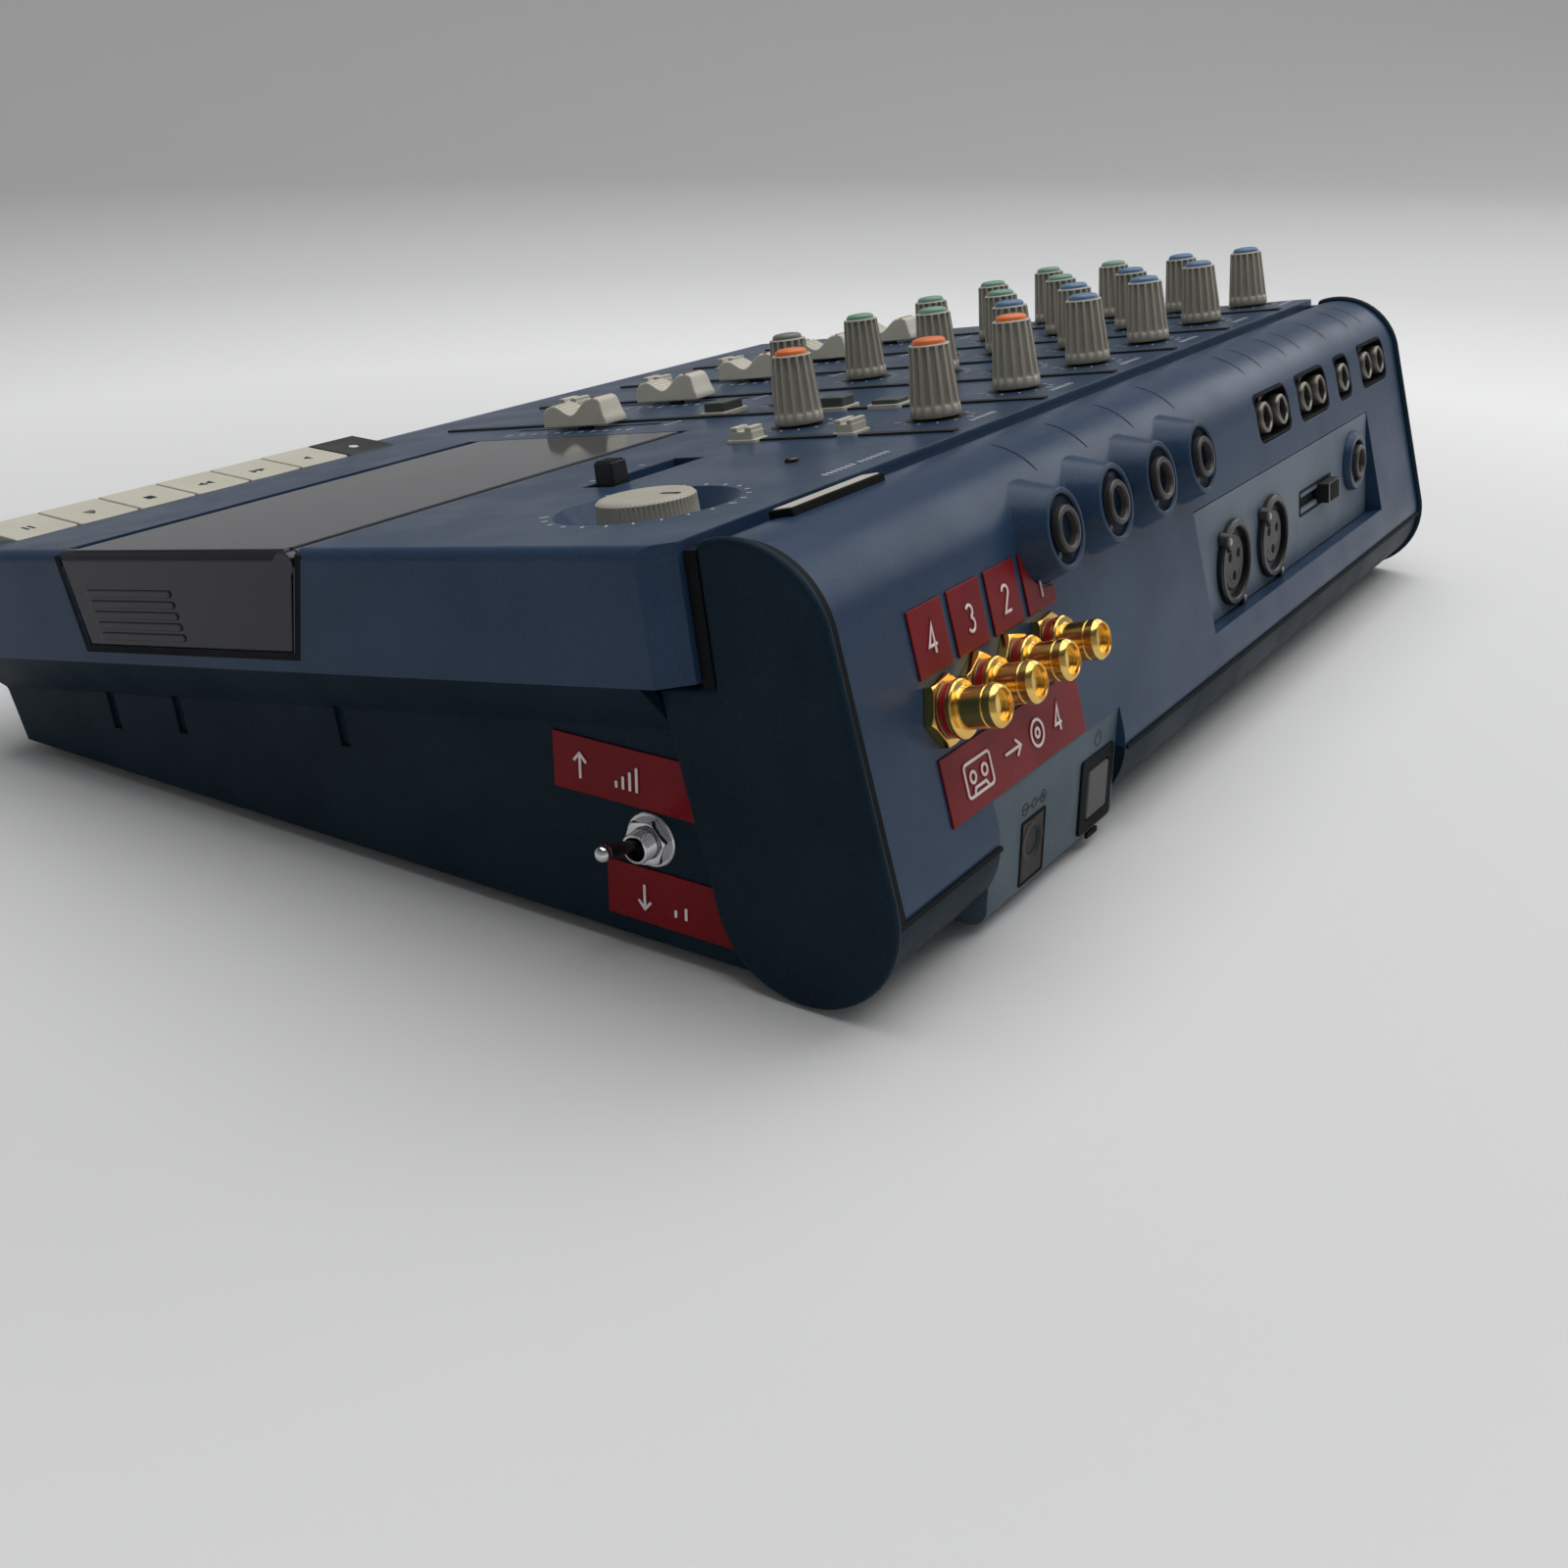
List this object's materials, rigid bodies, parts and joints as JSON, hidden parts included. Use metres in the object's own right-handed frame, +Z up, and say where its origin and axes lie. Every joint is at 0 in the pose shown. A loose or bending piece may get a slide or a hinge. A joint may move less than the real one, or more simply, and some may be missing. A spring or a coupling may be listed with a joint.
{
  "type": "four track cassette recorder",
  "caption": "Desktop four track cassette recorder: sloping mixer panel with knobs and faders, tape deck under a smoked lid, rounded rear connector hump, added phono sockets and toggle switch.",
  "frame": {"origin": "on the table under the middle of the footprint, taken over the whole recorder with its toggle lever and gold sockets", "axes": "+X to the user's right along the long side, +Y to the rear, +Z up"},
  "size_m": [0.3684, 0.2668, 0.1003],
  "materials": {
    "case_blue": "metallic satin paint",
    "plate_blue": "metallic satin paint",
    "foot_rubber": "matte",
    "screw_steel": "zinc plated",
    "black_plastic": "fine grain",
    "gold_plate": "gold plated",
    "toggle_chrome": "polished",
    "label_red": "embossed tape",
    "key_cream": "fine grain",
    "key_dark": "fine grain",
    "knob_grey": "fine grain",
    "lid_smoke": "smoked clear",
    "button_grey": "fine grain",
    "board_green": "solder mask"
  },
  "bodies": {
    "chassis": {"upper_case": "case_blue", "lower_case": "case_blue", "rear_housing": "case_blue", "end_caps": "case_blue", "connector_plate": "plate_blue", "power_plate": "plate_blue", "rubber_feet": "foot_rubber", "case_screws": "screw_steel", "phone_jacks": "black_plastic", "phono_sockets": "black_plastic", "gold_sockets": "gold_plate", "mic_sockets": "black_plastic", "toggle_bushing": "toggle_chrome", "red_labels": "label_red", "panel_switches": "key_cream", "deck_tray": "black_plastic", "drive_motor": "screw_steel", "main_board": "board_green"},
    "cassette_lid": {"cassette_lid": "lid_smoke"},
    "take_up_hub": {"take_up_hub": "knob_grey"},
    "supply_hub": {"supply_hub": "knob_grey"},
    "capstan_flywheel": {"capstan_flywheel": "screw_steel"},
    "head_bridge": {"head_bridge": "screw_steel"},
    "pinch_roller": {"pinch_roller": "foot_rubber"},
    "toggle_lever": {"toggle_lever": "black_plastic"},
    "power_button": {"power_button": "button_grey"},
    "pitch_knob": {"pitch_knob": "knob_grey"},
    "speed_slide": {"speed_slide": "black_plastic"},
    "pause_key": {"pause_key": "key_cream"},
    "eject_key": {"eject_key": "key_cream"},
    "stop_key": {"stop_key": "key_cream"},
    "forward_key": {"forward_key": "key_cream"},
    "rewind_key": {"rewind_key": "key_cream"},
    "play_key": {"play_key": "key_cream"},
    "record_key": {"record_key": "key_dark"},
    "fader_1": {"fader_1": "key_cream"},
    "fader_2": {"fader_2": "key_cream"},
    "fader_3": {"fader_3": "key_cream"},
    "fader_4": {"fader_4": "key_cream"},
    "master_fader": {"master_fader": "key_cream"},
    "trim_knob_1": {"trim_knob_1": "knob_grey"},
    "trim_knob_2": {"trim_knob_2": "knob_grey"},
    "trim_knob_3": {"trim_knob_3": "knob_grey"},
    "trim_knob_4": {"trim_knob_4": "knob_grey"},
    "treble_knob_1": {"treble_knob_1": "knob_grey"},
    "treble_knob_2": {"treble_knob_2": "knob_grey"},
    "treble_knob_3": {"treble_knob_3": "knob_grey"},
    "treble_knob_4": {"treble_knob_4": "knob_grey"},
    "bass_knob_1": {"bass_knob_1": "knob_grey"},
    "bass_knob_2": {"bass_knob_2": "knob_grey"},
    "bass_knob_3": {"bass_knob_3": "knob_grey"},
    "bass_knob_4": {"bass_knob_4": "knob_grey"},
    "pan_knob_1": {"pan_knob_1": "knob_grey"},
    "pan_knob_2": {"pan_knob_2": "knob_grey"},
    "pan_knob_3": {"pan_knob_3": "knob_grey"},
    "pan_knob_4": {"pan_knob_4": "knob_grey"},
    "return_knob_1": {"return_knob_1": "knob_grey"},
    "return_knob_2": {"return_knob_2": "knob_grey"},
    "phones_knob": {"phones_knob": "knob_grey"},
    "monitor_knob": {"monitor_knob": "knob_grey"}
  },
  "joints": [
    {"name": "cassette_lid_joint", "type": "hinge", "parent": "chassis", "child": "cassette_lid", "pos_m": [0.10883, -0.00885, 0.06648], "axis": [-1, 0, 0], "range_deg": [0, 75]},
    {"name": "take_up_hub_joint", "type": "hinge", "parent": "chassis", "child": "take_up_hub", "pos_m": [0.13608, -0.03483, 0.04515], "axis": [0, -0.1564, 0.9877], "continuous": true},
    {"name": "supply_hub_joint", "type": "hinge", "parent": "chassis", "child": "supply_hub", "pos_m": [0.09358, -0.03483, 0.04515], "axis": [0, -0.1564, 0.9877], "continuous": true},
    {"name": "capstan_flywheel_joint", "type": "hinge", "parent": "chassis", "child": "capstan_flywheel", "pos_m": [0.14083, -0.06446, 0.04045], "axis": [0, -0.1564, 0.9877], "continuous": true},
    {"name": "head_bridge_joint", "type": "slide", "parent": "chassis", "child": "head_bridge", "axis": [0, 0.9877, 0.1564], "range_m": [0, 0.007]},
    {"name": "pinch_roller_joint", "type": "hinge", "parent": "head_bridge", "child": "pinch_roller", "pos_m": [0.14083, -0.07923, 0.04419], "axis": [0, -0.1564, 0.9877], "continuous": true},
    {"name": "toggle_lever_joint", "type": "hinge", "parent": "chassis", "child": "toggle_lever", "pos_m": [0.16883, 0.07501, 0.0245], "axis": [0, 1, 0], "range_deg": [0, 24]},
    {"name": "power_button_joint", "type": "slide", "parent": "chassis", "child": "power_button", "axis": [0, -1, 0], "range_m": [0, 0.001], "stiffness_N_per_m": 400, "springref_m": -0.001},
    {"name": "pitch_knob_joint", "type": "hinge", "parent": "chassis", "child": "pitch_knob", "pos_m": [0.13823, 0.0536, 0.0794], "axis": [0, -0.1564, 0.9877], "range_deg": [-135, 135]},
    {"name": "speed_slide_joint", "type": "slide", "parent": "chassis", "child": "speed_slide", "axis": [-1, 0, 0], "range_m": [0, 0.023]},
    {"name": "pause_key_press", "type": "slide", "parent": "chassis", "child": "pause_key", "axis": [0, 0.1564, -0.9877], "range_m": [0, 0.0035], "stiffness_N_per_m": 150, "springref_m": -0.002},
    {"name": "eject_key_press", "type": "slide", "parent": "chassis", "child": "eject_key", "axis": [0, 0.1564, -0.9877], "range_m": [0, 0.0035], "stiffness_N_per_m": 150, "springref_m": -0.002},
    {"name": "stop_key_press", "type": "slide", "parent": "chassis", "child": "stop_key", "axis": [0, 0.1564, -0.9877], "range_m": [0, 0.0035], "stiffness_N_per_m": 150, "springref_m": -0.002},
    {"name": "forward_key_press", "type": "slide", "parent": "chassis", "child": "forward_key", "axis": [0, 0.1564, -0.9877], "range_m": [0, 0.0035], "stiffness_N_per_m": 150, "springref_m": -0.002},
    {"name": "rewind_key_press", "type": "slide", "parent": "chassis", "child": "rewind_key", "axis": [0, 0.1564, -0.9877], "range_m": [0, 0.0035], "stiffness_N_per_m": 150, "springref_m": -0.002},
    {"name": "play_key_press", "type": "slide", "parent": "chassis", "child": "play_key", "axis": [0, 0.1564, -0.9877], "range_m": [0, 0.0035], "stiffness_N_per_m": 150, "springref_m": -0.002},
    {"name": "record_key_press", "type": "slide", "parent": "chassis", "child": "record_key", "axis": [0, 0.1564, -0.9877], "range_m": [0, 0.0035], "stiffness_N_per_m": 150, "springref_m": -0.002},
    {"name": "fader_1_slide", "type": "slide", "parent": "chassis", "child": "fader_1", "axis": [0, 0.9877, 0.1564], "range_m": [-0.0215, 0.0225]},
    {"name": "fader_2_slide", "type": "slide", "parent": "chassis", "child": "fader_2", "axis": [0, 0.9877, 0.1564], "range_m": [-0.0215, 0.0225]},
    {"name": "fader_3_slide", "type": "slide", "parent": "chassis", "child": "fader_3", "axis": [0, 0.9877, 0.1564], "range_m": [-0.0215, 0.0225]},
    {"name": "fader_4_slide", "type": "slide", "parent": "chassis", "child": "fader_4", "axis": [0, 0.9877, 0.1564], "range_m": [-0.0215, 0.0225]},
    {"name": "master_fader_slide", "type": "slide", "parent": "chassis", "child": "master_fader", "axis": [0, 0.9877, 0.1564], "range_m": [-0.0215, 0.0225]},
    {"name": "trim_knob_1_turn", "type": "hinge", "parent": "chassis", "child": "trim_knob_1", "pos_m": [-0.17417, 0.06575, 0.08133], "axis": [0, -0.1564, 0.9877], "range_deg": [-150, 150]},
    {"name": "trim_knob_2_turn", "type": "hinge", "parent": "chassis", "child": "trim_knob_2", "pos_m": [-0.13117, 0.06575, 0.08133], "axis": [0, -0.1564, 0.9877], "range_deg": [-150, 150]},
    {"name": "trim_knob_3_turn", "type": "hinge", "parent": "chassis", "child": "trim_knob_3", "pos_m": [-0.08817, 0.06575, 0.08133], "axis": [0, -0.1564, 0.9877], "range_deg": [-150, 150]},
    {"name": "trim_knob_4_turn", "type": "hinge", "parent": "chassis", "child": "trim_knob_4", "pos_m": [-0.04517, 0.06575, 0.08133], "axis": [0, -0.1564, 0.9877], "range_deg": [-150, 150]},
    {"name": "treble_knob_1_turn", "type": "hinge", "parent": "chassis", "child": "treble_knob_1", "pos_m": [-0.17417, 0.04402, 0.07789], "axis": [0, -0.1564, 0.9877], "range_deg": [-150, 150]},
    {"name": "treble_knob_2_turn", "type": "hinge", "parent": "chassis", "child": "treble_knob_2", "pos_m": [-0.13117, 0.04402, 0.07789], "axis": [0, -0.1564, 0.9877], "range_deg": [-150, 150]},
    {"name": "treble_knob_3_turn", "type": "hinge", "parent": "chassis", "child": "treble_knob_3", "pos_m": [-0.08817, 0.04402, 0.07789], "axis": [0, -0.1564, 0.9877], "range_deg": [-150, 150]},
    {"name": "treble_knob_4_turn", "type": "hinge", "parent": "chassis", "child": "treble_knob_4", "pos_m": [-0.04517, 0.04402, 0.07789], "axis": [0, -0.1564, 0.9877], "range_deg": [-150, 150]},
    {"name": "bass_knob_1_turn", "type": "hinge", "parent": "chassis", "child": "bass_knob_1", "pos_m": [-0.17417, 0.02031, 0.07413], "axis": [0, -0.1564, 0.9877], "range_deg": [-150, 150]},
    {"name": "bass_knob_2_turn", "type": "hinge", "parent": "chassis", "child": "bass_knob_2", "pos_m": [-0.13117, 0.02031, 0.07413], "axis": [0, -0.1564, 0.9877], "range_deg": [-150, 150]},
    {"name": "bass_knob_3_turn", "type": "hinge", "parent": "chassis", "child": "bass_knob_3", "pos_m": [-0.08817, 0.02031, 0.07413], "axis": [0, -0.1564, 0.9877], "range_deg": [-150, 150]},
    {"name": "bass_knob_4_turn", "type": "hinge", "parent": "chassis", "child": "bass_knob_4", "pos_m": [-0.04517, 0.02031, 0.07413], "axis": [0, -0.1564, 0.9877], "range_deg": [-150, 150]},
    {"name": "pan_knob_1_turn", "type": "hinge", "parent": "chassis", "child": "pan_knob_1", "pos_m": [-0.17417, -0.00339, 0.07038], "axis": [0, -0.1564, 0.9877], "range_deg": [-150, 150]},
    {"name": "pan_knob_2_turn", "type": "hinge", "parent": "chassis", "child": "pan_knob_2", "pos_m": [-0.13117, -0.00339, 0.07038], "axis": [0, -0.1564, 0.9877], "range_deg": [-150, 150]},
    {"name": "pan_knob_3_turn", "type": "hinge", "parent": "chassis", "child": "pan_knob_3", "pos_m": [-0.08817, -0.00339, 0.07038], "axis": [0, -0.1564, 0.9877], "range_deg": [-150, 150]},
    {"name": "pan_knob_4_turn", "type": "hinge", "parent": "chassis", "child": "pan_knob_4", "pos_m": [-0.04517, -0.00339, 0.07038], "axis": [0, -0.1564, 0.9877], "range_deg": [-150, 150]},
    {"name": "return_knob_1_turn", "type": "hinge", "parent": "chassis", "child": "return_knob_1", "pos_m": [-0.00117, 0.06575, 0.08133], "axis": [0, -0.1564, 0.9877], "range_deg": [-150, 150]},
    {"name": "return_knob_2_turn", "type": "hinge", "parent": "chassis", "child": "return_knob_2", "pos_m": [0.04183, 0.06575, 0.08133], "axis": [0, -0.1564, 0.9877], "range_deg": [-150, 150]},
    {"name": "phones_knob_turn", "type": "hinge", "parent": "chassis", "child": "phones_knob", "pos_m": [0.04183, 0.02821, 0.07538], "axis": [0, -0.1564, 0.9877], "range_deg": [-150, 150]},
    {"name": "monitor_knob_turn", "type": "hinge", "parent": "chassis", "child": "monitor_knob", "pos_m": [-0.00117, -0.00043, 0.07085], "axis": [0, -0.1564, 0.9877], "range_deg": [-150, 150]}
  ],
  "couplings": [
    {"joint": "head_bridge_joint", "follows": "play_key_press", "ratio": 2}
  ]
}
